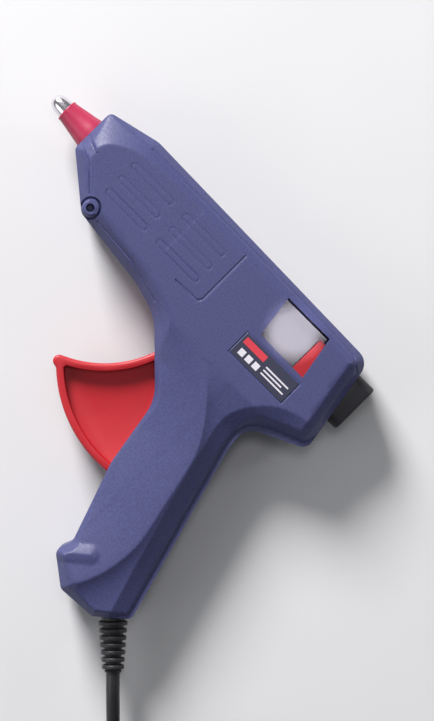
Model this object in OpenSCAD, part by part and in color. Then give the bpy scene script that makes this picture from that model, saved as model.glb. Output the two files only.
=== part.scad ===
// Hot melt glue gun, pistol grip, lying on its right side.
// The gun's own drawing plane has X along the barrel, Y up the grip and Z across the
// two casing halves, with the barrel's axis on the X axis and the parting plane at Z = 0.
// gun() moves that drawing into the part's frame, which stands on the floor at Z = 0.

/* [Casing] */
// Thickness of the gun across both casing halves
body_t = 34; // [33:1:36]
// Wall of each casing half
wall = 2.4; // [2:0.1:2.8]
// Radius of the casing screws' shanks
screw_r = 1.3; // [1:0.1:1.5]

/* [Glue path] */
// Diameter of the glue stick that the gun takes
stick_d = 11.2; // [11:0.1:11.4]
// Radial room round the stick in the inlet collar
stick_room = 0.4; // [0.3:0.05:0.5]
// Outer radius of the heating chamber
chamber_r = 8; // [7.6:0.1:8.2]

/* [Trigger] */
// Outer radius of the trigger's lower arm about its pivot
trigger_r = 60.5; // [59:0.5:61]
// Width of the trigger across the gun
trigger_w = 13; // [11:0.5:13]
// Radius of the trigger's pivot pin
pivot_r = 2; // [1.6:0.1:2.2]

/* [Cord] */
// Diameter of the mains cord
cord_d = 6; // [5.6:0.1:6.2]

/* [Hidden] */
$fn = 48;

half = body_t / 2;
// Extents of the gun in its own drawing plane, nozzle tip to inlet collar and toe to top
gun_x = [-22.9, 167.2];
gun_y = [-149.5, 18.2];
to_row = [-(gun_x[0] + gun_x[1]) / 2, -(gun_y[0] + gun_y[1]) / 2, half];

// Corners of the casing's side view, clockwise: x, y, fillet radius
outline = [
    [0, 12.6, 1.6], [24, 18.3, 12], [156.6, 15.4, 7], [164.4, -30.6, 5],
    [138.8, -42.6, 9], [139.8, -54, 40], [162.8, -137.4, 3.5], [149.6, -148.4, 3],
    [131.5, -149.6, 4], [117.6, -139, 4], [120.6, -131.5, 5], [108, -95, 25],
    [102.6, -62.6, 20], [76.2, -36.6, 25], [60, -32, 60], [22, -27.4, 4.5], [0, -9.2, 1.6]];
// Section of a half's side wall, up the outside and down the inside: height above the
// parting plane, inset from the side view
wall_section = [[0, 0], [9, 0], [10, 0.3], [half - 0.8, 5], [half, 6.2],
    [half, 7.6], [half - wall, 7.6], [half - wall, 6.2 + wall * 0.2], [9.6, wall], [0, wall]];
plate_inset = 7;
arc_steps = 3;

// Corners of the see-through window, clockwise
window_corners = [[112.1, 10.2, 0.6], [137.3, 10.2, 0.6], [140.8, -10.1, 0.6], [114.8, -9.6, 0.6]];

// Casing screws and the bosses that they pass through: three under the top chamfer, the
// others under the flat side
top_screws = [[26, 12.8], [88, 11.6], [147.5, 11]];
side_screws = [[151, -27.5], [131.5, -50], [130, -129], [36, -20.5]];
screw_at = concat(top_screws, side_screws);
boss_r = 3.1;
boss_z = half - 5.6;
head_r = 2.2;
head_z = 10.5;

// Socket for the wire stand under the nose
stand_at = [23.6, -23];
stand_r = 1.1;

// Post at the back of the casing that the return spring hooks over
spring_post = [156, -21];

// Trigger: pivot, and the centre and radius of the finger's hollow
pivot = [103.4, -39.2];
finger_centre = [38.5, -30];
finger_r = 52;
arm_t = 3.4;
web_t = 2.6;
arc_to = -78;
trigger_tip = [-42.9, -40.8];
fork_lean = 12;
fork_r = 25.2;
fork_z = 3;
fork_size = [8.4, 28.4];
pin_gap = 0.3;
run_gap = 0.05;
drive_at = pivot + fork_r * [tan(fork_lean), 1];

// Carriage
carriage_x = [134.9, 149];
carriage_y = [-13, 7.2];
carriage_z = 10;
cheek_z = [3.4, 6];
clamp_at = [142.9, -8.6];

// Cord clamp and outlet at the heel of the grip
outlet = [155.5, -141.9];
outlet_turn = -45;
relief_l = 26;
clamp_screw_x = -15.5;
clamp_screw_y = [-6.8, 6.8];

// Free cord, in the part's frame: from the strain relief's tip to the coil
cord_r = cord_d / 2;
cord_route = [[101.7, -94.7, 17], [106, -99, 16.7], [110.5, -103.5, 15.8], [116, -109, 13.9],
    [122, -115.1, 10.7], [128, -121.3, 7.6], [134, -127.6, 5.2], [140, -134, 4.1],
    [145.7, -140.3, 3.8], [151.5, -146.5, 3.8]];
coil_at = [178, -120, 0.8];
coil_r = [31.5, 37.5];
// From the coil's last turn round to the plug that lies on the coil
end_route = [[204.5, -146.5, 9.8], [214.3, -136.5, 10.4], [223.5, -126.5, 12], [229.5, -115, 14],
    [229.5, -102.5, 16.5], [223.5, -91.5, 19], [212.5, -85.5, 21], [200, -85.5, 21.8],
    [189.5, -91.5, 22]];
plug_exit = [189.5, -91.5, 22];
plug_z = 12.8;
plug_t = 18;
plug_turn = 225;

// ---- Plane geometry ----

function unit(v) = v / norm(v);
function right_of(v) = [v.y, -v.x];
function flat(p) = [p.x, p.y];
function turn(a, b) = atan2(a.x * b.y - a.y * b.x, a * b);
function into(c, i) = unit(flat(c[i]) - flat(c[(i + len(c) - 1) % len(c)]));
function out_of(c, i) = unit(flat(c[(i + 1) % len(c)]) - flat(c[i]));

// Corners moved into a clockwise outline by d, their fillets kept concentric
function inset(c, d) = [for (i = [0:len(c) - 1])
    let (n1 = right_of(into(c, i)), n2 = right_of(out_of(c, i)),
         m = (n1 + n2) / (1 + n1 * n2),
         r = turn(into(c, i), out_of(c, i)) < 0 ? max(c[i][2] - d, 0.3) : c[i][2] + d)
    [c[i].x + d * m.x, c[i].y + d * m.y, r]];

// Points of the fillet at corner i, in k steps
function fillet(c, i, k) =
    let (e = into(c, i), t = turn(e, out_of(c, i)), r = c[i][2],
         start = flat(c[i]) - e * r * tan(abs(t) / 2),
         centre = start + right_of(e) * (t < 0 ? r : -r),
         a = atan2(start.y - centre.y, start.x - centre.x))
    [for (j = [0:k]) centre + r * [cos(a + t * j / k), sin(a + t * j / k)]];

function rounded(c, k) = [for (i = [0:len(c) - 1]) for (p = fillet(c, i, k)) p];
function arc(centre, r, a, b, k) = [for (j = [0:k])
    centre + r * [cos(a + (b - a) * j / k), sin(a + (b - a) * j / k)]];

// ---- Solids that several parts use ----

module gun() {
    translate(to_row) children();
}

// The cord's line at the heel, with X outward from the casing
module outlet_frame() {
    translate([outlet.x, outlet.y, 0]) rotate([0, 0, outlet_turn]) children();
}

// A closed wall that follows an outline, its section given as heights and insets
module wall_round(c, section, k) {
    rings = [for (l = section) [for (p = rounded(inset(c, l[1]), k)) [p.x, p.y, l[0]]]];
    n = len(rings[0]);
    last = len(rings) - 1;
    polyhedron(
        points = [for (r = rings) for (p = r) p],
        faces = [for (j = [0:last]) for (i = [0:n - 1]) for (f = [0, 1])
            let (up = (j < last ? j + 1 : 0) * n, here = j * n, next = (i + 1) % n)
            f == 0 ? [here + i, here + next, up + next] : [here + i, up + next, up + i]]);
}

// A round tube swept along a route
module tube(route, r, sides) {
    last = len(route) - 1;
    heading = [for (i = [0:last])
        unit(route[min(i + 1, last)] - route[max(i - 1, 0)])];
    rings = [for (i = [0:last])
        let (u = unit(cross(heading[i], [0, 0, 1])), v = cross(u, heading[i]))
        [for (j = [0:sides - 1])
            route[i] + r * (cos(360 * j / sides) * u + sin(360 * j / sides) * v)]];
    polyhedron(
        points = [for (q = rings) for (p = q) p],
        faces = concat(
            [[for (j = [0:sides - 1]) j]],
            [[for (j = [sides - 1:-1:0]) last * sides + j]],
            [for (i = [0:last - 1]) for (j = [0:sides - 1])
                [i * sides + j, (i + 1) * sides + j, (i + 1) * sides + (j + 1) % sides]],
            [for (i = [0:last - 1]) for (j = [0:sides - 1])
                [i * sides + j, (i + 1) * sides + (j + 1) % sides, i * sides + (j + 1) % sides]]));
}

// A cylinder along X, from x0 to x1
module along_x(x0, x1, r0, r1) {
    translate([x0, 0, 0]) rotate([0, 90, 0]) cylinder(h = x1 - x0, r1 = r0, r2 = r1);
}

// A box between two corners
module block(low, high) {
    translate(low) cube(high - low);
}

// A cylinder along Z at a point of the side view
module post(at, z0, z1, r) {
    translate([at.x, at.y, z0]) cylinder(h = z1 - z0, r = r);
}

// ---- Casing ----

// Inlet collar's side view seen along the barrel: a rounded block, grown by g
module collar_block(x0, x1, g) {
    translate([x0, 0, 0]) rotate([90, 0, 90]) linear_extrude(x1 - x0)
        polygon(rounded([[-15.4 - g, 9 + g, 4], [8.6 + g, 9 + g, 4], [8.6 + g, -9 - g, 4],
            [-15.4 - g, -9 - g, 4]], 4));
}

// One half, drawn above the parting plane
module casing_half() {
    difference() {
        union() {
            wall_round(outline, wall_section, arc_steps);
            translate([0, 0, half - wall]) linear_extrude(wall)
                polygon(rounded(inset(outline, plate_inset), arc_steps));
            for (s = top_screws) post(s, 0, boss_z, boss_r);
            for (s = side_screws) post(s, 0, half - wall + 0.2, boss_r);
            post(pivot, trigger_w / 2 + 0.4, half - wall + 0.2, 4.4);
            post(spring_post, 0, half - wall + 0.2, 2.5);
            post(stand_at, 0, half - wall + 0.2, 3.6);
            // ribs that carry the chamber's insulators, and rails that guide the carriage
            for (x = [16, 50]) block([x, -9.5, 8.2], [x + 2, 7, half - wall + 0.2]);
            block([118, -15, 7.2], [150.8, -13.4, half - wall + 0.2]);
            block([141.6, 7.6, 7.2], [150, 9, half - wall + 0.2]);
        }
        // nozzle opening, window, trigger slot, inlet, cord outlet
        along_x(-2, 3.2, chamber_r + 0.6, chamber_r + 0.6);
        translate([0, 0, -1]) linear_extrude(half + 3) polygon(rounded(window_corners, 2));
        translate([0, 0, -1]) linear_extrude(trigger_w / 2 + 1.4)
            polygon(concat([pivot], arc(pivot, trigger_r + 0.8, -163, -60, 16)));
        collar_block(154, 172, 0.1);
        outlet_frame() along_x(-4, 6, 5.2, 5.2);
        // bores
        post(pivot, -1, half - 4.6, pivot_r + 0.02);
        post(stand_at, -1, half + 1, stand_r);
        for (s = screw_at) post(s, -1, boss_z - 2, screw_r + 0.05);
    }
}

module left_casing() {
    color([0.16, 0.17, 0.25]) gun() difference() {
        casing_half();
        block([109.8, -25, half - 0.3], [142.4, -12.4, half + 1]);
    }
}

module right_casing() {
    color([0.14, 0.15, 0.23]) gun() difference() {
        union() {
            mirror([0, 0, 1]) casing_half();
            outlet_frame() for (y = clamp_screw_y)
                translate([clamp_screw_x, y, wall - half - 0.2]) cylinder(h = half, r = 2.8);
        }
        for (s = screw_at) {
            post(s, -half - 1, -head_z, head_r + 0.1);
            post(s, -head_z - 1, 0, screw_r + 0.05);
        }
        outlet_frame() for (y = clamp_screw_y)
            translate([clamp_screw_x, y, -8.2]) cylinder(h = 20, r = screw_r + 0.05);
    }
}

module casing_screws() {
    color("silver") gun() for (s = screw_at) difference() {
        union() {
            post(s, -head_z - 2, -head_z, head_r);
            post(s, -head_z, 9, screw_r);
        }
        for (a = [0, 90]) translate([s.x, s.y, -head_z - 2]) rotate([0, 0, a])
            cube([3.2, 0.6, 1.6], center = true);
    }
}

// ---- Hot end ----

module heating_chamber() {
    color("silver") gun() difference() {
        union() {
            along_x(3, 68, chamber_r, chamber_r);
            block([14, -13.4, -6], [60, -5, 6]);
        }
        along_x(2, 12, 5.1, 5.1);
        along_x(11.9, 69, stick_d / 2 + 0.2, stick_d / 2 + 0.2);
        block([16, -12.4, -4.5], [61, -8.6, 4.5]);
    }
}

module heater_element() {
    color("orange") gun() block([17, -12, -4.2], [56, -9, 4.2]);
}

module heater_clip() {
    color("gray") gun() difference() {
        block([30, -14.4, -7], [44, -8.4, 7]);
        block([29, -13.4, -6.02], [45, -7, 6.02]);
    }
}

module nozzle() {
    color("lightgray") gun() difference() {
        union() {
            along_x(3, 12, 5.05, 5.05);
            along_x(-8, 3, 4.6, 6.2);
            along_x(-15.6, -8, 3.2, 4.6);
            along_x(-21.4, -15.4, 3.1, 4.4);
            along_x(-22.9, -21.4, 1.6, 3.1);
        }
        along_x(-24, -10, 0.9, 0.9);
        along_x(-10.1, 13, 2.4, 4);
    }
}

module nozzle_sleeve() {
    color([0.85, 0.2, 0.3]) gun() difference() {
        along_x(-15.4, 1.6, 4.6, 8.2);
        along_x(-15.5, -8, 3.25, 4.65);
        along_x(-8, 1.7, 4.65, 6.15);
    }
}

module insulator(x, r) {
    color("linen") gun() difference() {
        along_x(x, x + 3, r, r);
        along_x(x - 1, x + 4, chamber_r + 0.02, chamber_r + 0.02);
    }
}

module front_insulator() insulator(10, 9.3);
module rear_insulator() insulator(61.2, 10);

module stick_sleeve() {
    color("white") gun() difference() {
        union() {
            along_x(69, 99, 7.4, 7.4);
            along_x(64.4, 69.01, 9.4, 9.4);
        }
        along_x(68.01, 100, stick_d / 2 + 0.3, stick_d / 2 + 0.3);
        along_x(64, 68.02, chamber_r + 0.02, chamber_r + 0.02);
    }
}

module sleeve_clip() {
    color("gray") gun() difference() {
        union() {
            along_x(65.5, 67.9, 10.2, 10.2);
            block([65.5, 9, -2.2], [67.9, 13, 2.2]);
        }
        along_x(65, 69, 9.42, 9.42);
        block([65, 8, -0.6], [69, 14, 0.6]);
    }
}

// ---- Feed ----

module inlet_collar() {
    color([0.1, 0.1, 0.12]) gun() difference() {
        union() {
            collar_block(154, gun_x[1], 0);
            block([151.2, -17, -10.6], [154, 8, 10.6]);
        }
        along_x(150, gun_x[1] + 1, stick_d / 2 + stick_room, stick_d / 2 + stick_room);
        along_x(gun_x[1] - 1.5, gun_x[1] + 0.01, stick_d / 2 + stick_room, 7.6);
    }
}

module carriage() {
    color([0.8, 0.1, 0.15]) gun() difference() {
        union() {
            block([carriage_x[0], carriage_y[0], -carriage_z],
                [carriage_x[1], carriage_y[1], carriage_z]);
            for (m = [0, 1]) mirror([0, 0, m]) {
                block([104.5, -17, cheek_z[0]], [149, -12.9, cheek_z[1]]);
                post(drive_at, cheek_z[0], cheek_z[1], 4);
            }
            block([128, -25, -6], [131, -16.9, 6]);
        }
        block([138.5, -12, -8.2], [146, 8, 8.2]);
        along_x(130, 150, stick_d / 2 + 0.5, stick_d / 2 + 0.5);
        post(drive_at, -8, 8, pivot_r + 0.02);
        post(clamp_at, -12, 12, 1.52);
        post([129.5, -22.2], -8, 8, 1.2);
    }
}

module drive_pin() {
    color("silver") gun() post(drive_at, -cheek_z[1], cheek_z[1], pivot_r);
}

module clamp_pin() {
    color("silver") gun() post(clamp_at, -carriage_z, carriage_z, 1.5);
}

module stick_clamp() {
    color("gray") gun() difference() {
        union() {
            block([141.8, -8.6, -7.8], [144, 7.2, 7.8]);
            post(clamp_at, -7.8, 7.8, 2.6);
        }
        along_x(139, 147, stick_d / 2 + 0.9, stick_d / 2 + 0.9);
        post(clamp_at, -9, 9, 1.55);
    }
}

module return_spring() {
    color("gray") gun() translate([0, spring_post.y, 0]) difference() {
        along_x(131.1, 153.3, 3, 3);
        along_x(131, 153.4, 2.2, 2.2);
    }
}

// Trigger: a thin web inside a wide rim, a pivot boss and a fork that drives the carriage
trigger_edge = concat(
    arc(finger_centre, finger_r, -8, -64.5, 12),
    arc(pivot + trigger_tip, 2.7, 130, 270, 6),
    arc(pivot, trigger_r, -133.5, arc_to, 14),
    [pivot + [4, 0]]);
trigger_pocket = concat(
    arc(finger_centre, finger_r + arm_t, -16, -62.5, 10),
    arc(pivot, trigger_r - arm_t, -133.5, arc_to - 3, 12),
    [pivot + [-1.3, -8.4]]);

module trigger() {
    slot = pivot_r + pin_gap;
    color([0.8, 0.1, 0.15]) gun() difference() {
        union() {
            difference() {
                translate([0, 0, -trigger_w / 2]) linear_extrude(trigger_w)
                    polygon(trigger_edge);
                for (z = [web_t / 2, -trigger_w])
                    translate([0, 0, z]) linear_extrude(trigger_w - web_t / 2)
                        polygon(trigger_pocket);
            }
            post(pivot, -trigger_w / 2, trigger_w / 2, 5.5);
            translate([pivot.x, pivot.y, -fork_z]) rotate([0, 0, -fork_lean])
                translate([-fork_size.x / 2, 0, 0]) cube([fork_size.x, fork_size.y, 2 * fork_z]);
        }
        post(pivot, -trigger_w, trigger_w, pivot_r + run_gap);
        translate([pivot.x, pivot.y, -fork_z - 1]) rotate([0, 0, -fork_lean])
            translate([-slot, fork_r - slot, 0]) cube([2 * slot, 10, 2 * fork_z + 2]);
    }
}

module trigger_pin() {
    color("silver") gun() post(pivot, -half + 4.7, half - 4.7, pivot_r);
}

// ---- Wiring inside the grip ----

// A drawing along the cord's line, with its own X outward from the heel
module at_outlet() {
    gun() outlet_frame() children();
}

module inner_cord() {
    color("black") at_outlet() along_x(-24, -6, cord_r, cord_r);
}

module cord_clamp() {
    color("dimgray") at_outlet() difference() {
        block([-19, -9.5, 2.2], [-12, 9.5, 5.4]);
        along_x(-20, -11, cord_r, cord_r);
        for (y = clamp_screw_y) translate([clamp_screw_x, y, 0])
            cylinder(h = 8, r = screw_r + 0.05);
    }
}

module cord_clamp_screws() {
    color("silver") at_outlet() for (y = clamp_screw_y) translate([clamp_screw_x, y, 0]) {
        translate([0, 0, -8]) cylinder(h = 13.4, r = screw_r);
        translate([0, 0, 5.4]) cylinder(h = 1.8, r = 2.4);
    }
}

module wire(z) {
    gun() tube([[137.7, -124.1, z * 0.13], [138, -118.6, z * 0.5], [140.5, -108, z], [140, -92, z],
        [135, -76, z], [131, -66, z], [121, -48, z], [113, -30, z], [100, -23, z], [84, -20, z],
        [70, -16, z * 0.8], [64.6, -13.2, z * 0.4], [61.9, -11.2, z * 0.26]], 1.1, 8);
}

module live_wire() {
    color("sienna") wire(10.6);
}

module neutral_wire() {
    color("royalblue") wire(-10.6);
}

module wire_connectors() {
    color("ivory") gun() for (m = [0, 1]) mirror([0, 0, m])
        block([56.2, -12, 0.8], [61, -9.2, 4]);
}

module rating_label() {
    color([0.25, 0.26, 0.4]) gun() block([110, -24.8, half - 0.3], [142.2, -12.6, half]);
}

// ---- Free cord ----

module strain_relief() {
    color([0.08, 0.08, 0.1]) at_outlet() difference() {
        union() {
            along_x(-6, -2.4, 7, 7);
            along_x(-2.5, 3, 5.1, 5.1);
            along_x(3, relief_l, 5.6, 3.6);
            for (i = [0:6]) along_x(3.4 + 3.2 * i, 5.2 + 3.2 * i, 6.4 - 0.25 * i, 6.4 - 0.25 * i);
        }
        along_x(-7, relief_l - 6, cord_r, cord_r);
    }
}

module cord() {
    color([0.06, 0.06, 0.07]) tube(cord_route, cord_r, 10);
}

module cord_coil() {
    color([0.06, 0.06, 0.07]) translate(coil_at) rotate_extrude() {
        translate([coil_r[0] - cord_r, 0]) square([coil_r[1] - coil_r[0] + 2 * cord_r, 4 * cord_r]);
    }
}

module cord_ties() {
    tie_w = 5;
    tie_t = 0.8;
    color("white") translate([coil_at.x, coil_at.y, 0]) for (a = [0, -90]) rotate([0, 0, a])
        difference() {
            block([coil_r[0] - cord_r - tie_t, -tie_w / 2, 0],
                [coil_r[1] + cord_r + tie_t, tie_w / 2, 4 * cord_r + 2 * tie_t]);
            block([coil_r[0] - cord_r - 0.3, -tie_w, tie_t],
                [coil_r[1] + cord_r + 0.3, tie_w, 4 * cord_r + tie_t]);
        }
}

module cord_end() {
    color([0.06, 0.06, 0.07]) tube(end_route, cord_r, 10);
}

// The plug lies on the coil with its pins up; its own X runs from the cord into the body
module at_plug() {
    translate(plug_exit) rotate([0, 0, plug_turn]) children();
}

module plug_relief() {
    color([0.08, 0.08, 0.1]) at_plug() difference() {
        along_x(0, 18, 4, 6);
        along_x(-1, 5, cord_r, cord_r);
    }
}

module plug_body() {
    low = plug_z - plug_exit.z;
    color([0.1, 0.1, 0.11]) at_plug() {
        translate([0, 0, low]) linear_extrude(plug_t)
            polygon(rounded([[18, 14, 7], [32, 25, 9], [67, 24, 9], [67, -24, 9], [32, -25, 9],
                [18, -14, 7]], 4));
    }
}

module plug_pins() {
    top = plug_z - plug_exit.z + plug_t;
    color("gold") at_plug() {
        block([30, -2, top], [38, 2, top + 22.7]);
        for (y = [-11, 11]) block([58.2, y - 3.2, top], [62.2, y + 3.2, top + 17.7]);
    }
}

module fuse_carrier() {
    top = plug_z - plug_exit.z + plug_t;
    color("firebrick") at_plug() block([44, -5, top], [54, 5, top + 0.8]);
}

left_casing();
right_casing();
casing_screws();
heating_chamber();
heater_element();
heater_clip();
nozzle();
nozzle_sleeve();
front_insulator();
rear_insulator();
stick_sleeve();
sleeve_clip();
inlet_collar();
return_spring();
trigger_pin();
carriage();
drive_pin();
clamp_pin();
stick_clamp();
trigger();
cord_clamp();
cord_clamp_screws();
inner_cord();
live_wire();
neutral_wire();
wire_connectors();
rating_label();
strain_relief();
cord();
cord_coil();
cord_ties();
cord_end();
plug_relief();
plug_body();
plug_pins();
fuse_carrier();
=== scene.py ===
"""Looks of the glue gun: camera, cord, casing shells, trigger and the other shown pieces."""

import math

import bmesh
import bpy
import numpy as np
from mathutils import Matrix, Vector
from mathutils.geometry import delaunay_2d_cdt


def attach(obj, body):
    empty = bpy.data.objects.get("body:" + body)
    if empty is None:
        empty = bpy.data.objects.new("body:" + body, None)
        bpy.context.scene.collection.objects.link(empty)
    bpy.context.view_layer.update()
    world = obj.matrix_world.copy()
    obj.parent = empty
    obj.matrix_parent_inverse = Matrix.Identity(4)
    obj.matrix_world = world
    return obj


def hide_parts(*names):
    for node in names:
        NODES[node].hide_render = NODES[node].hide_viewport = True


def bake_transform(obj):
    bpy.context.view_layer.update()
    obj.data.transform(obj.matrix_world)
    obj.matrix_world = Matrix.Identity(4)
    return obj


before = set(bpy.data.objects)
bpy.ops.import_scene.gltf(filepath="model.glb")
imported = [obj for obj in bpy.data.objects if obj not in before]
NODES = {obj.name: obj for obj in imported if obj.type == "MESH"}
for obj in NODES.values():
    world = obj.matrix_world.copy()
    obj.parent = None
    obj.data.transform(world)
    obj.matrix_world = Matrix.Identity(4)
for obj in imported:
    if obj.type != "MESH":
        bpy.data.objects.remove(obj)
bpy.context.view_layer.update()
MM = 0.001

# The gun's own drawing, in millimetres, and its place in the row frame
TO_ROW = Vector((-72.15, 65.65, 17.0))
HALF = 17.0


def row(x, y, z=0.0):
    """A point of the gun's drawing in the row frame, in metres."""
    return (Vector((x, y, z)) + TO_ROW) * MM


# ---------------------------------------------------------------- camera

VIEW_CENTRE = Vector((37.15, 34.65, 17.0)) * MM
VIEW_DISTANCE = 1.2
VIEW_HEIGHT = 0.317
VIEW_ROLL = 45.0


def make_camera():
    data = bpy.data.cameras.new("camera")
    data.sensor_fit = "VERTICAL"
    data.sensor_height = 24.0
    data.lens = 24.0 * VIEW_DISTANCE / VIEW_HEIGHT
    data.clip_start = 0.01
    data.clip_end = 20.0
    camera = bpy.data.objects.new("camera", data)
    bpy.context.scene.collection.objects.link(camera)
    turned = Matrix.Rotation(math.radians(VIEW_ROLL), 4, "Z")
    camera.matrix_world = Matrix.Translation(VIEW_CENTRE + Vector((0, 0, VIEW_DISTANCE))) @ turned
    bpy.context.scene.camera = camera


make_camera()

# ---------------------------------------------------------------- materials


class Shader:
    """A principled material built up from noise textures."""

    def __init__(self, name, colour, rough, metallic=0.0, **sockets):
        self.material = bpy.data.materials.new(name)
        self.material.use_nodes = True
        self.tree = self.material.node_tree
        self.bsdf = self.tree.nodes["Principled BSDF"]
        self.bsdf.inputs["Base Color"].default_value = (*colour, 1)
        self.bsdf.inputs["Roughness"].default_value = rough
        self.bsdf.inputs["Metallic"].default_value = metallic
        for socket, value in sockets.items():
            self.bsdf.inputs[socket.replace("_", " ")].default_value = value
        self.colour = colour
        self.rough = rough
        self.normal = None

    def add(self, kind, **inputs):
        made = self.tree.nodes.new(kind)
        for name, value in inputs.items():
            made.inputs[name.replace("_", " ")].default_value = value
        return made

    def place(self):
        return self.tree.nodes.new("ShaderNodeTexCoord").outputs["Object"]

    def noise(self, scale, detail=3.0, stretch=None):
        texture = self.add("ShaderNodeTexNoise", Scale=scale, Detail=detail)
        source = self.place()
        if stretch:
            mapping = self.add("ShaderNodeMapping", Scale=stretch)
            self.tree.links.new(source, mapping.inputs["Vector"])
            source = mapping.outputs["Vector"]
        self.tree.links.new(source, texture.inputs["Vector"])
        return texture.outputs["Fac"]

    def ramp(self, value, low, high, from_low=0.3, from_high=0.7):
        made = self.tree.nodes.new("ShaderNodeMapRange")
        made.inputs["From Min"].default_value = from_low
        made.inputs["From Max"].default_value = from_high
        made.inputs["To Min"].default_value = low
        made.inputs["To Max"].default_value = high
        self.tree.links.new(value, made.inputs["Value"])
        return made.outputs["Result"]

    def mix(self, fac, a, b):
        made = self.tree.nodes.new("ShaderNodeMix")
        made.data_type = "RGBA"
        self.tree.links.new(fac, made.inputs["Factor"])
        for socket, value in ((made.inputs["A"], a), (made.inputs["B"], b)):
            if isinstance(value, tuple):
                socket.default_value = (*value, 1)
            else:
                self.tree.links.new(value, socket)
        return made.outputs["Result"]

    def mottle(self, scale, amount, detail=3.0, stretch=None):
        """Colour that drifts by amount to each side of the base colour."""
        fac = self.ramp(self.noise(scale, detail, stretch), 0.0, 1.0)
        darker = tuple(c * (1 - amount) for c in self.colour)
        lighter = tuple(min(1.0, c * (1 + amount)) for c in self.colour)
        self.tree.links.new(self.mix(fac, darker, lighter), self.bsdf.inputs["Base Color"])
        return self

    def uneven_gloss(self, scale, spread, stretch=None):
        value = self.ramp(self.noise(scale, 2.0, stretch), self.rough - spread, self.rough + spread)
        self.tree.links.new(value, self.bsdf.inputs["Roughness"])
        return self

    def bump(self, scale, height, strength=0.5, detail=2.0, stretch=None):
        made = self.tree.nodes.new("ShaderNodeBump")
        made.inputs["Strength"].default_value = strength
        made.inputs["Distance"].default_value = height
        self.tree.links.new(self.noise(scale, detail, stretch), made.inputs["Height"])
        if self.normal:
            self.tree.links.new(self.normal, made.inputs["Normal"])
        self.normal = made.outputs["Normal"]
        self.tree.links.new(self.normal, self.bsdf.inputs["Normal"])
        return self


def moulded(name, colour, rough, grain=1800, depth=0.00005):
    return (Shader(name, colour, rough).mottle(40, 0.06).uneven_gloss(90, 0.05)
            .bump(grain, depth, 0.35).bump(60, 0.0002, 0.08)).material


def rubbery(name, colour, rough=0.55):
    return (Shader(name, colour, rough).mottle(60, 0.10).uneven_gloss(120, 0.07)
            .bump(900, 0.00005, 0.3)).material


def metal(name, colour, rough, stretch=(1, 30, 30)):
    return (Shader(name, colour, rough, 1.0).mottle(50, 0.06).uneven_gloss(150, 0.08, stretch)
            .bump(300, 0.00003, 0.3, stretch=stretch)).material


def sparked(name, colour, rough):
    """Casing plastic: a spark-eroded grain with fine lighter specks."""
    return (Shader(name, colour, rough, Specular_IOR_Level=0.35).mottle(1500, 0.20, 2.0)
            .uneven_gloss(900, 0.06).bump(1500, 0.00008, 0.4)).material


# Near-black casing plastic; the blue in its base colour is a painted reflection, not the plastic's
# own tone
CASING_WITH_BLUE_REFLECTION = sparked("casing_plastic", (0.054, 0.059, 0.155), 0.48)
RED = moulded("red_plastic", (0.43, 0.008, 0.016), 0.50, 900, 0.00002)
SILICONE = rubbery("red_silicone", (0.38, 0.020, 0.066), 0.42)
NOZZLE = metal("nozzle_metal", (0.83, 0.79, 0.85), 0.22)
BLACK = moulded("black_plastic", (0.012, 0.011, 0.016), 0.45)
CORD = rubbery("cord_rubber", (0.016, 0.015, 0.018), 0.45)
PLUG = moulded("plug_plastic", (0.02, 0.02, 0.023), 0.35, 1200)
BRASS = metal("plug_brass", (0.75, 0.56, 0.26), 0.25, (30, 30, 1))
STEEL = metal("steel", (0.56, 0.57, 0.60), 0.28)
CAST = (Shader("cast_metal", (0.55, 0.55, 0.57), 0.45, 1.0).mottle(80, 0.1)
        .bump(500, 0.0001, 0.5)).material
TIE = moulded("white_tie", (0.78, 0.78, 0.76), 0.4)
LABEL = moulded("printed_label", (0.022, 0.024, 0.052), 0.6, 600, 0.00002)
LABEL_RED = moulded("label_red", (0.55, 0.03, 0.05), 0.6, 600, 0.00002)
LABEL_WHITE = moulded("label_white", (0.62, 0.60, 0.66), 0.6, 600, 0.00002)
CERAMIC = moulded("heater_ceramic", (0.66, 0.42, 0.22), 0.35, 500)
FIBRE = rubbery("fibre_board", (0.62, 0.54, 0.38), 0.85)
CLEAR = rubbery("clear_silicone", (0.62, 0.60, 0.56), 0.35)
BROWN = rubbery("brown_insulation", (0.20, 0.075, 0.03))
BLUE = rubbery("blue_insulation", (0.03, 0.10, 0.42))
CREAM = moulded("connector_plastic", (0.68, 0.65, 0.56), 0.45)
FUSE = moulded("fuse_plastic", (0.42, 0.05, 0.04), 0.4)

CAD_FINISH = {
    "casing_screws": STEEL, "heating_chamber": CAST, "heater_element": CERAMIC,
    "heater_clip": STEEL, "front_insulator": FIBRE, "rear_insulator": FIBRE,
    "stick_sleeve": CLEAR, "sleeve_clip": STEEL, "trigger_pin": STEEL, "carriage": RED,
    "drive_pin": STEEL, "clamp_pin": STEEL, "stick_clamp": STEEL, "cord_clamp": BLACK,
    "cord_clamp_screws": STEEL, "inner_cord": CORD, "live_wire": BROWN, "neutral_wire": BLUE,
    "wire_connectors": CREAM}
for node, material in CAD_FINISH.items():
    NODES[node].data.materials.clear()
    NODES[node].data.materials.append(material)


# ---------------------------------------------------------------- mesh helpers


def new_object(name, data, material):
    made = bpy.data.objects.new(name, data)
    bpy.context.scene.collection.objects.link(made)
    data.materials.append(material)
    return made


def mesh_object(name, points, faces, material, smooth_angle=35.0):
    data = bpy.data.meshes.new(name)
    data.from_pydata([tuple(p) for p in points], [], faces)
    data.validate()
    made = new_object(name, data, material)
    clean(made, smooth_angle)
    return made


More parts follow.
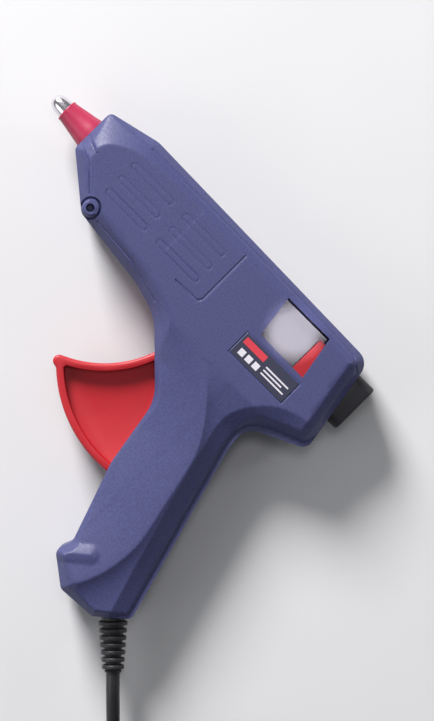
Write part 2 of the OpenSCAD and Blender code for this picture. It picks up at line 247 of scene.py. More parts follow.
def clean(made, smooth_angle=35.0):
    """Welds doubles, turns faces outward and smooths edges flatter than smooth_angle."""
    shape = bmesh.new()
    shape.from_mesh(made.data)
    bmesh.ops.remove_doubles(shape, verts=shape.verts, dist=1e-6)
    bmesh.ops.recalc_face_normals(shape, faces=shape.faces)
    limit = math.radians(smooth_angle)
    for edge in shape.edges:
        edge.smooth = len(edge.link_faces) == 2 and edge.calc_face_angle(0.0) < limit
    for face in shape.faces:
        face.smooth = True
    shape.to_mesh(made.data)
    shape.free()


def apply_modifiers(made):
    for other in bpy.context.selected_objects:
        other.select_set(False)
    bpy.context.view_layer.objects.active = made
    made.select_set(True)
    for modifier in list(made.modifiers):
        bpy.ops.object.modifier_apply(modifier=modifier.name)


NUDGES = (0.0, 0.03, -0.05, 0.07)


def cut_from(made, other):
    """Takes other away from made. A cut that loses half the mesh is tried again a hair aside."""
    kept = made.data.copy()
    for nudge in NUDGES:
        other.location.x += nudge * MM
        modifier = made.modifiers.new("cut", "BOOLEAN")
        modifier.operation = "DIFFERENCE"
        modifier.solver = "EXACT"
        modifier.object = other
        apply_modifiers(made)
        if len(made.data.vertices) > 0.5 * len(kept.vertices):
            break
        made.data = kept.copy()
    bpy.data.meshes.remove(kept)
    bpy.data.objects.remove(other)


def bevel(made, width, segments=3, angle=32.0):
    modifier = made.modifiers.new("bevel", "BEVEL")
    modifier.width = width * MM
    modifier.segments = segments
    modifier.limit_method = "ANGLE"
    modifier.angle_limit = math.radians(angle)
    apply_modifiers(made)
    clean(made)


def prism(name, corners, low, high, material, place=row):
    """A solid between two heights over a plane outline."""
    count = len(corners)
    points = [place(*c, z) for z in (low, high) for c in corners]
    sides = [(i, (i + 1) % count, count + (i + 1) % count, count + i) for i in range(count)]
    caps = [tuple(range(count))[::-1], tuple(range(count, 2 * count))]
    return mesh_object(name, points, sides + caps, material)


def closed_rings(rings, sides):
    """Faces between equal rings of points, the last ring joined to the first."""
    faces = []
    for j in range(rings):
        here, there = j * sides, (j + 1) % rings * sides
        for k in range(sides):
            after = (k + 1) % sides
            faces.append((here + k, here + after, there + after, there + k))
    return faces


def turned_solid(name, profile, material, place=row, sides=64):
    """A closed solid of revolution about the drawing's X axis from (x, radius) points."""
    points = []
    for x, r in profile:
        for k in range(sides):
            a = 2 * math.pi * k / sides
            points.append(place(x, r * math.cos(a), r * math.sin(a)))
    return mesh_object(name, points, closed_rings(len(profile), sides), material)


def arc(centre, radius, start, end, steps):
    """Points along an arc, angles in degrees."""
    return [(centre[0] + radius * math.cos(math.radians(start + (end - start) * k / steps)),
             centre[1] + radius * math.sin(math.radians(start + (end - start) * k / steps)))
            for k in range(steps + 1)]


def oblong(x0, x1, y0, y1):
    return [(x0, y0), (x0, y1), (x1, y1), (x1, y0)]


def inset(corners, d):
    """The corners of a clockwise outline moved inward by d, fillets kept concentric."""
    moved = []
    for i, (x, y, r) in enumerate(corners):
        before, after = corners[i - 1], corners[(i + 1) % len(corners)]
        e1 = Vector((x - before[0], y - before[1])).normalized()
        e2 = Vector((after[0] - x, after[1] - y)).normalized()
        n1, n2 = Vector((e1.y, -e1.x)), Vector((e2.y, -e2.x))
        m = (n1 + n2) / (1 + n1.dot(n2))
        bend = e1.x * e2.y - e1.y * e2.x
        moved.append((x + d * m.x, y + d * m.y, max(r - d, 0.3) if bend < 0 else r + d))
    return moved


def rounded(corners, steps):
    """The outline's points, each corner filleted in a number of steps."""
    points = []
    for i, (x, y, r) in enumerate(corners):
        before, after = corners[i - 1], corners[(i + 1) % len(corners)]
        e1 = Vector((x - before[0], y - before[1])).normalized()
        e2 = Vector((after[0] - x, after[1] - y)).normalized()
        bend = math.atan2(e1.x * e2.y - e1.y * e2.x, e1.dot(e2))
        start = Vector((x, y)) - e1 * r * math.tan(abs(bend) / 2)
        side = 1 if bend < 0 else -1
        centre = start + Vector((e1.y, -e1.x)) * r * side
        first = math.atan2(start.y - centre.y, start.x - centre.x)
        points += [(centre.x + r * math.cos(first + bend * k / steps),
                    centre.y + r * math.sin(first + bend * k / steps)) for k in range(steps + 1)]
    return points


def divided(points, step, closed=True):
    """Points along a line at no more than step apart."""
    result = []
    count = len(points)
    for i in range(count if closed else count - 1):
        a, b = Vector(points[i]), Vector(points[(i + 1) % count])
        parts = max(1, math.ceil((b - a).length / step))
        result += [tuple(a.lerp(b, k / parts)) for k in range(parts)]
    return result if closed else result + [points[-1]]


# ---------------------------------------------------------------- cord, coil and plug

CORD_R = 3.0
CORD_ROUTE = [
    (101.7, -94.7, 17), (106, -99, 16.7), (110.5, -103.5, 15.8), (116, -109, 13.9),
    (122, -115.1, 10.7), (128, -121.3, 7.6), (134, -127.6, 5.2), (140, -134, 4.1),
    (145.7, -140.3, 3.8)]
COIL_AT = (178.0, -120.0)
COIL_Z = (3.8, 9.8)
COIL_R = (31.5, 37.5)
COIL_START = 225.0
COIL_STEP = 15
END_ROUTE = [
    (204.5, -146.5, 9.8), (214.3, -136.5, 10.4), (223.5, -126.5, 12), (229.5, -115, 14),
    (229.5, -102.5, 16.5), (223.5, -91.5, 19), (212.5, -85.5, 21), (200, -85.5, 21.8),
    (189.5, -91.5, 22)]
OUTLET = (155.5, -141.9)
OUTLET_TURN = math.radians(-45.0)
RELIEF_L = 26.0
PLUG_EXIT = Vector((189.5, -91.5, 22.0))
PLUG_TURN = math.radians(225.0)
PLUG_Z = 12.8
PLUG_T = 18.0
PIN_L = 17.7
EARTH_PIN_L = 22.7
PIN_SLEEVE_L = 9.0
RELIEF_BORE = CORD_R + 0.02
TIE_T = 0.35
TIE_HALF_W = 2.3


def at_outlet(x, y, z):
    """A point on the cord's line at the heel, X outward, in the row frame."""
    c, s = math.cos(OUTLET_TURN), math.sin(OUTLET_TURN)
    return row(OUTLET[0] + x * c - y * s, OUTLET[1] + x * s + y * c, z)


def at_plug(x, y, z):
    """A point of the plug's own drawing, X from the cord into the body."""
    c, s = math.cos(PLUG_TURN), math.sin(PLUG_TURN)
    return (PLUG_EXIT + Vector((x * c - y * s, x * s + y * c, z))) * MM


def coil_turns():
    """Outer turn on the floor, inner turn on the floor, then back out on top of them."""
    def point(angle, radius, height):
        a = math.radians(angle)
        return (COIL_AT[0] + radius * math.cos(a), COIL_AT[1] + radius * math.sin(a), height)

    def ease(t):
        t = min(1.0, max(0.0, t))
        return t * t * (3 - 2 * t)

    points = []
    last = COIL_START + 3 * 360 + 90
    angle = COIL_START
    while angle <= last:
        turn = (angle - COIL_START) / 360
        inward = ease((turn - 0.85) / 0.3) - ease((turn - 2.0) / 0.6)
        radius = COIL_R[1] + (COIL_R[0] - COIL_R[1]) * inward
        height = COIL_Z[0] + (COIL_Z[1] - COIL_Z[0]) * ease((turn - 1.85) / 0.3)
        points.append(point(angle, radius, height))
        angle += COIL_STEP
    return points


def make_cord():
    start = at_outlet(RELIEF_L, 0, 0) / MM
    points = [tuple(start)] + CORD_ROUTE[1:] + coil_turns() + END_ROUTE[1:]
    curve = bpy.data.curves.new("mains_cord", "CURVE")
    curve.dimensions = "3D"
    curve.bevel_depth = CORD_R * MM
    curve.bevel_resolution = 6
    curve.use_fill_caps = True
    curve.resolution_u = 8
    spline = curve.splines.new("BEZIER")
    spline.bezier_points.add(len(points) - 1)
    for target, point in zip(spline.bezier_points, points):
        target.co = Vector(point) * MM
        target.handle_left_type = target.handle_right_type = "AUTO"
    return new_object("mains_cord", curve, CORD)


def make_strain_relief():
    profile = [(-6, RELIEF_BORE), (-6, 6.6)] + arc((-5.6, 6.6), 0.4, 180, 90, 3)
    profile += [(-2.8, 7.0), (-2.4, 6.6), (-2.4, 5.1), (3.0, 5.1)]
    for i in range(7):
        x, r = 3.4 + 3.2 * i, 6.4 - 0.25 * i
        profile += [(x - 0.35, r - 1.5), (x, r - 0.35)]
        profile += arc((x + 0.4, r - 0.4), 0.4, 150, 90, 2)
        profile += arc((x + 1.4, r - 0.4), 0.4, 90, 30, 2) + [(x + 1.85, r - 1.5)]
    profile += [(RELIEF_L - 0.6, 3.9), (RELIEF_L, 3.5), (RELIEF_L, RELIEF_BORE)]
    return turned_solid("strain_relief_ribs", profile, CORD, at_outlet, 48)


def make_plug():
    corners = rounded([(18, 14, 7), (32, 25, 9), (67, 24, 9),
                       (67, -24, 9), (32, -25, 9), (18, -14, 7)], 8)
    low = PLUG_Z - PLUG_EXIT.z
    body = prism("plug_shell", corners, low, low + PLUG_T, PLUG, at_plug)
    bevel(body, 2.6, 5)
    profile = [(-0.2, RELIEF_BORE), (-0.2, 3.8), (0.4, 4.1)]
    for x in (2.5, 5.5, 8.5, 11.5):
        r = 4.1 + 0.09 * x
        profile += [(x, r), (x + 0.3, r - 0.8), (x + 1.5, r - 0.7), (x + 1.8, r + 0.1)]
    profile += [(18.6, 6.0), (18.6, RELIEF_BORE)]
    relief = turned_solid("plug_relief_ribs", profile, CORD, at_plug, 40)
    top = low + PLUG_T

    def pin(name, x0, x1, y0, y1, height, sleeved):
        made = prism(name, oblong(x0, x1, y0, y1), top - 0.5, top + height, BRASS, at_plug)
        bevel(made, 0.7, 3)
        if not sleeved:
            return made
        around = oblong(x0 - 0.05, x1 + 0.05, y0 - 0.05, y1 + 0.05)
        sleeve = prism(name + "_sleeve", around, top - 0.4, top + PIN_SLEEVE_L, PLUG, at_plug)
        bevel(sleeve, 0.4, 2)
        sleeve.parent = made
        return made

    pins = [pin("earth_pin", 30, 38, -2, 2, EARTH_PIN_L, False)]
    for name, y in (("line_pin", -11), ("return_pin", 11)):
        pins.append(pin(name, 58.2, 62.2, y - 3.2, y + 3.2, PIN_L, True))
    carrier = prism("fuse_cover", oblong(44, 54, -5, 5), top - 0.3, top + 0.8, FUSE, at_plug)
    bevel(carrier, 0.3, 2)
    return body, relief, pins, carrier


def make_tie(name, angle):
    """A flat band round the coil's section."""
    gap = CORD_R + 0.45
    ring = []
    for centre, start in (((COIL_R[1], COIL_Z[1]), 90), ((COIL_R[1], COIL_Z[0]), 0),
                          ((COIL_R[0], COIL_Z[0]), -90), ((COIL_R[0], COIL_Z[1]), -180)):
        ring += arc(centre, gap, start, start - 90, 6)
    middle_r, middle_z = sum(COIL_R) / 2, sum(COIL_Z) / 2
    outline = [[(r + math.copysign(thick, r - middle_r), z + math.copysign(thick, z - middle_z))
                for r, z in ring] for thick in (0.0, TIE_T)]
    a = math.radians(angle)
    out, side = Vector((math.cos(a), math.sin(a), 0)), Vector((-math.sin(a), math.cos(a), 0))
    centre = Vector((*COIL_AT, 0))
    points = []
    for half_width, shell in ((-TIE_HALF_W, 0), (TIE_HALF_W, 0), (TIE_HALF_W, 1), (-TIE_HALF_W, 1)):
        points += [(centre + out * r + side * half_width + Vector((0, 0, z))) * MM
                   for r, z in outline[shell]]
    return mesh_object(name, points, closed_rings(4, len(ring)), TIE, 50)


cord = make_cord()
relief = make_strain_relief()
plug_body, plug_relief, plug_pins, fuse_cover = make_plug()
ties = [make_tie("tie_a", 0), make_tie("tie_b", -90)]
on_cord = [relief, plug_body, plug_relief, fuse_cover, *plug_pins, *ties]
for piece in (cord, *on_cord):
    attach(piece, "root")
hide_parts("cord", "cord_coil", "cord_end")
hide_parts("strain_relief")
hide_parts("plug_body")
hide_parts("plug_relief")
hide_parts("fuse_carrier")
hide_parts("plug_pins")
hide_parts("cord_ties")
at_outlet(RELIEF_L, 0, 0)

# ---------------------------------------------------------------- casing shells

OUTLINE = [
    (0, 12.6, 2.7), (24, 18.3, 12), (156.6, 15.4, 7), (164.4, -30.6, 5), (138.8, -42.6, 9),
    (139.8, -54, 40), (162.8, -137.4, 3.5), (149.6, -148.4, 3), (131.5, -149.6, 4),
    (117.6, -139, 4), (120.6, -131.5, 5), (108, -95, 25), (102.6, -62.6, 20),
    (76.2, -36.6, 25), (60, -32, 60), (22, -27.4, 4.5), (0, -9.2, 2.7)]
WINDOW = [(112.1, 10.2), (137.3, 10.2), (140.8, -10.1), (114.8, -9.6)]
PIVOT = (103.4, -39.2)
STAND = (23.6, -23.0)
WALL = 2.4
TRIGGER_R = 60.5
TRIGGER_W = 13.0

# The skin's height over the parting plane: EDGE_Z at the outline, SHOULDER_Z at STEEP in from
# it, and HALF from SHALLOW in
STEEP = 3.4
SHALLOW = 6.8
EDGE_Z = 9.6
SHOULDER_Z = 14.4
# Height of the inner wall's top, and the chamfer on the edge at the parting plane
INNER_Z = 8.6
SEAM_IN = 0.22


def distance_to(points, line, closed=False):
    """Least distance of each point to a line of points, by numpy."""
    a = np.array(line if closed else line[:-1], float)
    b = np.array((line[1:] + line[:1]) if closed else line[1:], float)
    best = np.full(len(points), 1e9)
    for p, q in zip(a, b):
        d = q - p
        length = max(d @ d, 1e-12)
        t = np.clip((points - p) @ d / length, 0, 1)
        best = np.minimum(best, np.hypot(*(points - p - t[:, None] * d).T))
    return best


def side_of(points, line):
    """Signed distance to an open line, positive on its right."""
    signed = np.full(len(points), 0.0)
    best = np.full(len(points), 1e9)
    for p, q in zip(np.array(line[:-1], float), np.array(line[1:], float)):
        d = (q - p) / np.hypot(*(q - p))
        t = np.clip((points - p) @ d, 0, np.hypot(*(q - p)))
        away = points - p - t[:, None] * d
        size = np.hypot(*away.T)
        turned = away @ np.array([d[1], -d[0]])
        nearer = size < best
        best = np.where(nearer, size, best)
        signed = np.where(nearer, np.sign(turned) * size, signed)
    return signed


def smooth_min(a, b, k):
    """The lower of two surfaces with a blend of width k where they cross."""
    h = np.clip(0.5 + 0.5 * (b - a) / k, 0, 1)
    return b * (1 - h) + a * h - k * h * (1 - h)


def trough(distance, width, depth):
    """A groove with soft sides."""
    t = np.clip(1 - distance / width, 0, 1)
    return depth * t * t * (3 - 2 * t)


def slot_outline(x0, x1, y, height):
    r = height / 2
    return (arc((x1 - r, y), r, 90, -90, 6) + arc((x0 + r, y), r, 270, 90, 6) + [(x1 - r, y + r)])


VENTS = [slot_outline(x0, x1, y, 3.0) for x0, x1 in ((23.5, 47.5), (54.6, 79.2))
         for y in (3.3, -4.8, -12.5)]


def eased(line, rounds=2):
    """A line with its corners cut, which makes a smooth curve of it."""
    for _ in range(rounds):
        cut = [line[0]]
        for (x0, y0), (x1, y1) in zip(line, line[1:]):
            cut += [(0.75 * x0 + 0.25 * x1, 0.75 * y0 + 0.25 * y1),
                    (0.25 * x0 + 0.75 * x1, 0.25 * y0 + 0.75 * y1)]
        line = cut + [line[-1]]
    return line


# Creases of both sides: the flat's arch behind the nose, the grip's panel, the band behind it
ARCH = eased([
    (9.5, -14), (8.7, -5.7), (7.7, -1.4), (10.6, 3.1), (17.2, 7), (23.5, 9.1), (36, 10.4),
    (60, 10.6)])
PANEL = eased([
    (100, -26), (108.9, -37.4), (120.2, -48.1), (127.9, -58.9), (131.6, -66.2), (134.7, -77.9),
    (137.1, -90.2), (140.3, -103.7), (141.6, -112.3), (141.2, -121), (139.5, -131),
    (135.5, -141), (129, -151)])
BAND = eased([
    (168, -21), (161.7, -21.4), (149.4, -22.6), (138.4, -28.7), (130.4, -39.2), (128.3, -48.4),
    (130.6, -58.3), (133, -67.5), (136, -79.1), (139.2, -91), (142.7, -103), (145.5, -113),
    (148.4, -123), (151.4, -133), (155, -145)])
TOE = [(119, -139), (124, -134.5), (130, -129.5)]
GROOVES = [
    # line, half width, depth
    ([(25, 14.1), (60, 14.1), (109, 13.6), (150, 12.4), (156.2, 8), (158.2, -2), (160.2, -17)],
     0.75, 0.55),
    ([(86.2, 10), (86.2, -16.5), (85, -18.6), (72, -19)], 0.55, 0.45),
    ([(30, -25), (52, -26.5), (72, -32)], 0.7, 0.6),
    ([(0.4, -1), (9, -4)], 0.6, 0.6),
    ([(1, -6), (10, -10), (19, -19)], 0.6, 0.6),
]
LABEL_EDGE = [(110, -12.8), (142, -12.8), (142, -24.6), (110, -24.6), (110, -12.8)]
EDGE_LINE = rounded(OUTLINE, 6)
# Half width and depth of the grooves that form the louvres and edge the label
VENT_GROOVE = (0.45, 0.22)
LABEL_GROOVE = (0.45, 0.35)
# Where the nose's fall ends, where the grip starts, and how steep nose and band are
NOSE_END = 60
GRIP_TOP = -34
NOSE_SLOPE = 0.52
BAND_SLOPE = 0.45
# The drop behind the grip's panel, the stand boss's top, and the toe lump's height and reach
PANEL_DROP = 3.6
BOSS_TOP = 15.4
TOE_H = 1.5
TOE_REACH = 4.2


def skin_height(points, left):
    """Height of the casing's skin over the parting plane at points of the side view."""
    points = np.array(points, float)
    edge = distance_to(points, EDGE_LINE, closed=True)
    steep = EDGE_Z + edge * (SHOULDER_Z - EDGE_Z) / STEEP
    shallow = SHOULDER_Z + (edge - STEEP) * (HALF - SHOULDER_Z) / (SHALLOW - STEEP)
    z = smooth_min(steep, shallow, 0.5)
    z = smooth_min(z, np.full(len(points), HALF), 0.4)
    x, y = points.T
    # the nose falls away in front of the flat's arch
    before = np.clip(-side_of(points, ARCH), 0, 30)
    nose = HALF - before * NOSE_SLOPE * np.clip((NOSE_END - x) / 22, 0, 1)
    z = np.where((x < NOSE_END) & (y > -14), smooth_min(z, nose, 0.5), z)
    # the grip is crowned in front and falls away behind its panel
    on_grip = np.clip((GRIP_TOP - y) / 14, 0, 1)
    panel = side_of(points, PANEL)
    ahead = np.clip(panel, 0, 40)
    front = HALF - on_grip * ahead * (0.15 + 0.0032 * ahead)
    z = np.where(y < GRIP_TOP, smooth_min(z, front, 0.4), z)
    slope = HALF - on_grip * PANEL_DROP * (1 - np.exp(-np.clip(-panel, 0, 40) * 0.16))
    z = np.where(y < GRIP_TOP, smooth_min(z, slope, 0.25), z)
    # the band slopes down to the grip's back
    outside = np.clip(-side_of(points, BAND), 0, 30)
    band = np.minimum(z, HALF) - outside * BAND_SLOPE
    z = np.where((x > 120) & (y < -18), smooth_min(z, band, 0.3), z)
    # the toe's rounded lump
    lump = np.clip(1 - distance_to(points, TOE) / TOE_REACH, 0, 1) ** 0.7
    z = np.minimum(z + TOE_H * lump, HALF)
    # the stand's boss stands out of the sloping edge, with a moat round it and a bore
    boss = np.hypot(x - STAND[0], y - STAND[1])
    z = np.where(boss < 3.7, np.maximum(z, BOSS_TOP - np.clip(boss - 2.9, 0, 1) ** 2 * 1.5), z)
    z -= 1.6 * np.clip(1 - np.abs(boss - 4.4) / 0.7, 0, 1)
    z -= 3.0 * np.clip((1.9 - boss) / 0.4, 0, 1)
    for line, width, depth in GROOVES:
        z -= trough(distance_to(points, line), width, depth)
    for line in VENTS:
        z -= trough(distance_to(points, line), *VENT_GROOVE)
    if left:
        z -= trough(distance_to(points, LABEL_EDGE), *LABEL_GROOVE)
    return np.maximum(z, EDGE_Z - 0.6)


# Spacing of the skin's grid, how near a feature it is fine, and the rings round edge and boss
FINE = 0.5
COARSE = 2.5
NEAR = 1.6
EDGE_RINGS = (0.25, 0.6, 1.2, 2.0, 2.8, 3.2, 3.5, 3.9, 4.8, 5.8, 6.5, 7.0)
BOSS_RINGS = (1.45, 1.95, 2.9, 3.3, 3.65, 3.75, 4.4, 5.1)
BOSS_ROOM = 5.4


def skin_points():
    """Points over the side view: rings along its edge and a grid, finer near the features."""
    rings = []
    for d in EDGE_RINGS:
        rings += divided(rounded(inset(OUTLINE, d), 5), 1.6)
    rings = [p for p in rings if math.dist(p, STAND) > BOSS_ROOM]
    for r in BOSS_RINGS:
        rings += [p for p in arc(STAND, r, 0, 345, 23) if in_polygon(p, EDGE_LINE)]
    lines = [line for line, *_ in GROOVES] + VENTS + [LABEL_EDGE, ARCH, PANEL, BAND, TOE]
    xs, ys = np.meshgrid(np.arange(0, 165, FINE), np.arange(-150, 19, FINE))
    fine = np.stack([xs.ravel(), ys.ravel()], 1)
    near = np.full(len(fine), 1e9)
    for line in lines:
        near = np.minimum(near, distance_to(fine, line))
    index = np.indices(xs.shape).reshape(2, -1).T
    step = round(COARSE / FINE)
    on_coarse = (index % step == 0).all(1)
    off_boss = np.hypot(fine[:, 0] - STAND[0], fine[:, 1] - STAND[1]) > BOSS_ROOM
    band = (fine[:, 0] > 118) & (fine[:, 1] < -18) & (index % 2 == 0).all(1)
    keep = off_boss & ((near < NEAR) | on_coarse | band)
    kept = fine[keep]
    edge = distance_to(kept, EDGE_LINE, closed=True)
    inside = np.array([in_polygon(p, EDGE_LINE) for p in kept])
    by_feature = (near[keep] < NEAR) & (edge > 0.4)
    grid = kept[inside & ((edge > 7.4) | by_feature | (band[keep] & (edge > 0.9)))]
    ring = np.array(rings)
    ok = distance_to(ring, EDGE_LINE, closed=True) > 0.15
    return [tuple(p) for p in ring[ok]] + [tuple(p) for p in grid]


def in_polygon(p, polygon):
    """Whether a point lies inside a closed line."""
    x, y = p
    inside = False
    for (x0, y0), (x1, y1) in zip(polygon, polygon[1:] + polygon[:1]):
        if (y0 > y) != (y1 > y) and x < (x1 - x0) * (y - y0) / (y1 - y0) + x0:
            inside = not inside
    return inside


def make_half(name, left, material):
    """One casing half: skin with its details, side wall with a seam, inner wall and plate."""
    sign = 1 if left else -1
    border = divided(EDGE_LINE, 1.5)
    count = len(border)

    def flat_mesh(line, inside):
        edges = [(i, (i + 1) % count) for i in range(count)]
        points, _, faces, *_ = delaunay_2d_cdt([Vector(p) for p in line + inside], edges, [], 1, 1e-5)
        return [(p.x, p.y) for p in points], faces

    def ring(line, z):
        first = len(vertices)
        vertices.extend(row(x, y, sign * z) for x, y in line)
        return first

    flat, faces = flat_mesh(border, skin_points())
    heights = skin_height(flat, left)
    vertices = [row(x, y, sign * z) for (x, y), z in zip(flat, heights)]
    polygons = [tuple(f) for f in faces]

    # the side wall hangs from the skin's edge, whatever its height there
    edge_height = {(round(x, 3), round(y, 3)): z
                   for (x, y), z in zip(flat[:count], heights[:count])}
    top = len(vertices)
    for x, y in border:
        vertices.append(row(x, y, sign * edge_height.get((round(x, 3), round(y, 3)), EDGE_Z)))
    chamfered, walled = matched_inset(border, SEAM_IN), matched_inset(border, WALL)
    levels = [top, ring(border, 9.0), ring(border, 0.35), ring(chamfered, 0.12),
              ring(chamfered, 0.0), ring(walled, 0.0), ring(walled, INNER_Z)]
    for a, b in zip(levels, levels[1:]):
        polygons.extend((a + i, a + (i + 1) % count, b + (i + 1) % count, b + i)
                        for i in range(count))

    # the inner skin follows the outer one at the wall's thickness
    inner = len(vertices)
    flat, faces = flat_mesh(walled, inner_grid(walled))
    depth = distance_to(np.array(flat), EDGE_LINE, closed=True)
    under = np.maximum(skin_height(flat, left) - 0.9 * WALL, INNER_Z)
    for (x, y), d, limit in zip(flat, depth, under):
        z = INNER_Z + (HALF - WALL - INNER_Z) * min(1, max(0, (d - WALL) / 5.0))
        vertices.append(row(x, y, sign * min(z, limit)))
    polygons.extend(tuple(inner + i for i in f) for f in faces)
    return mesh_object(name, vertices, polygons, material, 28)


def matched_inset(border, d):
    """Each point of a closed clockwise line moved inward by d along its own normal."""
    moved = []
    count = len(border)
    for i, (x, y) in enumerate(border):
        before, after = Vector(border[i - 1]), Vector(border[(i + 1) % count])
        along = (after - before).normalized()
        moved.append((x + along.y * d, y - along.x * d))
    return moved


def inner_grid(line):
    step = 4.0
    xs, ys = np.meshgrid(np.arange(2, 163, step), np.arange(-147, 16, step))
    points = np.stack([xs.ravel(), ys.ravel()], 1)
    edge = distance_to(points, line, closed=True)
    return [tuple(p) for p, e in zip(points, edge) if e > 1.0 and in_polygon(p, line)]


def across(z, y, x):
    """A point of a cross-section of the gun, at x along it."""
    return row(x, y, z)


def inlet_section(gap, steps):
    """The inlet collar's cross-section, grown by a gap."""
    low, high, side = -15.4 - gap, 8.6 + gap, 9 + gap
    corners = rounded([(low, side, 4), (high, side, 4), (high, -side, 4), (low, -side, 4)], steps)
    return [(z, y) for y, z in corners]


MOUTH_R = 8.6
OUTLET_R = 5.2
# Cutters' axes stand this far off the shell's own planes and points, so that no faces coincide
OFF_PLANE = 0.04
OFF_POINTS = (0.013, 0.007)


def cut_openings(shell, sign):
    """Nozzle opening, window, trigger slot, inlet, cord outlet."""
    mouth = [(-3, 0.01), (-3, MOUTH_R), (3.4, MOUTH_R), (3.4, 0.01)]
    slot = [PIVOT] + arc(PIVOT, TRIGGER_R + 0.8, -163, -60, 30)
    outlet = [(-6, 0.01), (-6, OUTLET_R), (8, OUTLET_R), (8, 0.01)]
    cut_from(shell, turned_solid("cutter", mouth, CASING_WITH_BLUE_REFLECTION,
                                 lambda x, y, z: row(x, y, z + OFF_PLANE * sign)))
    cut_from(shell, prism("cutter", WINDOW, 5 * sign, 20 * sign, CASING_WITH_BLUE_REFLECTION))
    cut_from(shell, prism("cutter", slot, -1 * sign, (TRIGGER_W / 2 + 0.9) * sign, CASING_WITH_BLUE_REFLECTION))
    cut_from(shell, prism("cutter", inlet_section(0.1, 6), 154, 172, CASING_WITH_BLUE_REFLECTION, across))
    cut_from(shell, turned_solid("cutter", outlet, CASING_WITH_BLUE_REFLECTION, at_outlet))


left_shell = make_half("left_shell", True, CASING_WITH_BLUE_REFLECTION)
right_shell = make_half("right_shell", False, CASING_WITH_BLUE_REFLECTION)
SCREWS = [(26, 12.8), (88, 11.6), (147.5, 11), (151, -27.5), (131.5, -50), (130, -129),
          (36, -20.5)]
SCREW_HOLE = [(10.47, 0.02), (10.47, 2.5), (20, 2.5), (20, 0.02)]
for shell, sign, node in ((left_shell, 1, "left_casing"), (right_shell, -1, "right_casing")):
    cut_openings(shell, sign)
    if sign < 0:
        for place in SCREWS:
            x0, y0 = place[0] + OFF_POINTS[0], place[1] + OFF_POINTS[1]
            cut_from(shell, turned_solid("cutter", SCREW_HOLE, CASING_WITH_BLUE_REFLECTION,
                                         lambda x, y, z: row(x0 + y, y0 + z, -x), 22))
    clean(shell, 30)
    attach(shell, "root")
    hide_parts(node)

# ---------------------------------------------------------------- label


def make_label():
    """A film label with plain bars where a maker would print words."""
    def bar(name, x0, x1, y0, y1, z, material):
        return prism(name, oblong(x0, x1, y0, y1), HALF - 0.6, z, material)

    base = bar("label_film", 110.4, 141.6, -24.2, -13.2, HALF + 0.02, LABEL)
    marks = [("mark_red", 111.6, 124, -17.4, -14.3, LABEL_RED)]
    for i in range(3):
        x = 113 + 4.2 * i
        marks.append((f"mark_square_{i}", x, x + 3, -22.4, -19.4, LABEL_WHITE))
    for i in range(3):
        y = -18.3 - 1.7 * i
        marks.append((f"mark_line_{i}", 126.4, 139.8 - 2.6 * (i % 2), y, y + 0.7, LABEL_WHITE))
    for name, x0, x1, y0, y1, material in marks:
        bar(name, x0, x1, y0, y1, HALF + 0.05, material).parent = base
    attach(base, "root")
    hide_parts("rating_label")


make_label()

# ---------------------------------------------------------------- nozzle and sleeve


def make_hot_end():
    tip = [(12, 4.0), (12, 5.05), (3, 5.05), (3, 6.15), (-8, 4.6), (-15.6, 4.5), (-19, 3.95)]
    tip += [(-20.4, 3.6), (-21.5, 3.1), (-22.3, 2.4), (-22.75, 1.7), (-22.9, 1.2)]
    tip += [(-22.7, 0.9), (-10, 0.9), (-9.8, 2.4)]
    nozzle = turned_solid("nozzle_turned", tip, NOZZLE)
    cover = [(1.6, 6.2), (1.6, 7.9)] + arc((1.3, 7.8), 0.35, 0, 100, 3)
    cover += [(-3, 7.15), (-13.9, 5.1)] + arc((-14.9, 4.75), 0.45, 80, 180, 4)
    cover += [(-15.35, 4.35), (-15.2, 4.2), (-8, 4.66)]
    sleeve = turned_solid("sleeve_moulded", cover, SILICONE)
    for piece, node in ((nozzle, "nozzle"), (sleeve, "nozzle_sleeve")):
        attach(piece, "root")
        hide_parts(node)


make_hot_end()

# ---------------------------------------------------------------- inlet collar


def make_collar():
    collar = prism("inlet_block", inlet_section(0, 8), 152, 167.2, BLACK, across)
    bevel(collar, 0.8, 3)
    bore = turned_solid("cutter", [(150, 0.01), (150, 6.0), (165.7, 6.0), (167.3, 7.7),
                                   (169, 7.7), (169, 0.01)], BLACK)
    cut_from(collar, bore)
    clean(collar)
    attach(collar, "root")
    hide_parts("inlet_collar")


make_collar()

# ---------------------------------------------------------------- trigger

FINGER = (38.5, -30.0)
FINGER_R = 52.0
ARM = 3.4
WEB = 2.6
BORE_R = 2.1
BOSS_R = 5.5


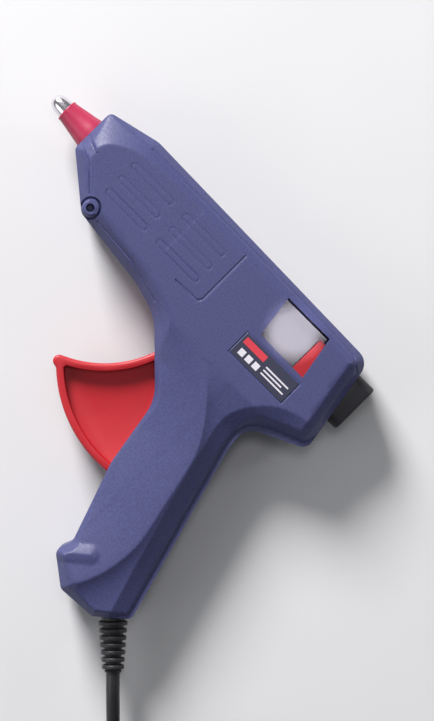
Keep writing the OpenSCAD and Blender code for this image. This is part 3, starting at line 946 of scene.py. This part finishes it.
def make_trigger():
    tip = (PIVOT[0] - 42.9, PIVOT[1] - 40.8)
    edge = arc(FINGER, FINGER_R, -8, -64.5, 24) + arc(tip, 2.7, 130, 270, 10)
    edge += arc(PIVOT, TRIGGER_R, -133.5, -78, 24) + [(PIVOT[0] + 4, PIVOT[1])]
    pocket = arc(FINGER, FINGER_R + ARM, -16, -62.5, 20)
    pocket += arc(PIVOT, TRIGGER_R - ARM, -133.5, -81, 20) + [(PIVOT[0] - 1.3, PIVOT[1] - 8.4)]
    lever = prism("trigger_lever", edge, -TRIGGER_W / 2, TRIGGER_W / 2, RED)
    bevel(lever, 1.3, 4)
    for sign in (1, -1):
        cutter = prism("cutter", pocket, sign * WEB / 2, sign * TRIGGER_W, RED)
        cut_from(lever, cutter)
    bevel(lever, 0.55, 2, 55)
    bore = prism("bore", arc(PIVOT, BORE_R, 0, 345, 23), -8, 8, RED)
    cut_from(lever, bore)
    half = TRIGGER_W / 2
    boss = turned_solid("boss", [(-half, BORE_R), (-half, BOSS_R), (half, BOSS_R), (half, BORE_R)],
                        RED, lambda x, y, z: row(PIVOT[0] + y, PIVOT[1] + z, x), 32)
    boss.parent = lever
    lean = math.radians(-12)

    def on_fork(x, y, z):
        return row(PIVOT[0] + x * math.cos(lean) - y * math.sin(lean),
                   PIVOT[1] + x * math.sin(lean) + y * math.cos(lean), z)

    fork = prism("fork", [(-4.2, 4), (-4.2, 28.4), (-2.3, 28.4), (-2.3, 22.9), (2.3, 22.9),
                          (2.3, 28.4), (4.2, 28.4), (4.2, 4)], -3, 3, RED, on_fork)
    bevel(fork, 0.4, 2)
    fork.parent = lever
    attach(lever, "trigger")
    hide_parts("trigger")


make_trigger()

# ---------------------------------------------------------------- return spring


SPRING_X = (131.6, 152.8)
SPRING_Y = -21
SPRING_R = 2.5
SPRING_WIRE_R = 0.45
COILS = 13
COIL_SIDES = 16


def make_spring():
    curve = bpy.data.curves.new("spring_wire", "CURVE")
    curve.dimensions = "3D"
    curve.bevel_depth = SPRING_WIRE_R * MM
    curve.bevel_resolution = 3
    spline = curve.splines.new("POLY")
    steps = COILS * COIL_SIDES
    spline.points.add(steps)
    for k in range(steps + 1):
        a = 2 * math.pi * k / COIL_SIDES
        x = SPRING_X[0] + (SPRING_X[1] - SPRING_X[0]) * k / steps
        spline.points[k].co = (*row(x, SPRING_Y + SPRING_R * math.cos(a), SPRING_R * math.sin(a)), 1)
    wire = new_object("spring_wire", curve, STEEL)
    bpy.context.view_layer.objects.active = wire
    wire.select_set(True)
    bpy.ops.object.convert(target="MESH")
    wire.select_set(False)
    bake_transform(wire)
    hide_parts("return_spring")


make_spring()

# ---------------------------------------------------------------- floor and lights


def make_floor():
    size = 3.0
    corners = [(-size, -size, 0), (size, -size, 0), (size, size, 0), (-size, size, 0)]
    data = bpy.data.meshes.new("floor")
    data.from_pydata(corners, [], [(0, 1, 2, 3)])
    paper = Shader("floor_paper", (0.62, 0.62, 0.63), 0.9).mottle(6, 0.02).material
    new_object("floor", data, paper)


def make_light(name, place, size, power, colour=(1, 1, 1)):
    """A round lamp aimed at the row frame's origin."""
    data = bpy.data.lights.new(name, "AREA")
    data.shape = "DISK"
    data.size = size
    data.energy = power
    data.color = colour
    light = bpy.data.objects.new(name, data)
    light.location = place
    light.rotation_euler = (-Vector(place)).to_track_quat("-Z", "Y").to_euler()
    bpy.context.scene.collection.objects.link(light)


def make_spot(name, place, radius, power, colour):
    """A narrow beam straight down, so the paper under the see-through window is not in shadow."""
    data = bpy.data.lights.new(name, "SPOT")
    data.energy = power
    data.color = colour
    data.spot_size = 2 * math.atan(radius / place[2])
    data.spot_blend = 0.3
    data.shadow_soft_size = 0.004
    light = bpy.data.objects.new(name, data)
    light.location = place
    bpy.context.scene.collection.objects.link(light)


make_floor()
make_light("key", (-1.75, 0.80, 1.1), 0.8, 96, (1.0, 0.98, 0.98))
make_light("overhead", (-0.12, 0.25, 1.5), 0.3, 2.5, (0.95, 0.95, 1.0))
make_light("fill", (-0.5, -0.9, 0.7), 0.8, 3, (0.96, 0.97, 1.0))
make_light("rim", (0.5, 1.0, 0.45), 0.3, 1.5)
make_spot("through_window", (0.052, 0.068, 1.5), 0.012, 72, (0.90, 0.86, 1.0))
world = bpy.data.worlds.new("studio")
world.use_nodes = True
world.node_tree.nodes["Background"].inputs["Color"].default_value = (0.95, 0.97, 1.0, 1)
world.node_tree.nodes["Background"].inputs["Strength"].default_value = 0.17
bpy.context.scene.world = world
bpy.context.scene.view_settings.view_transform = "Standard"
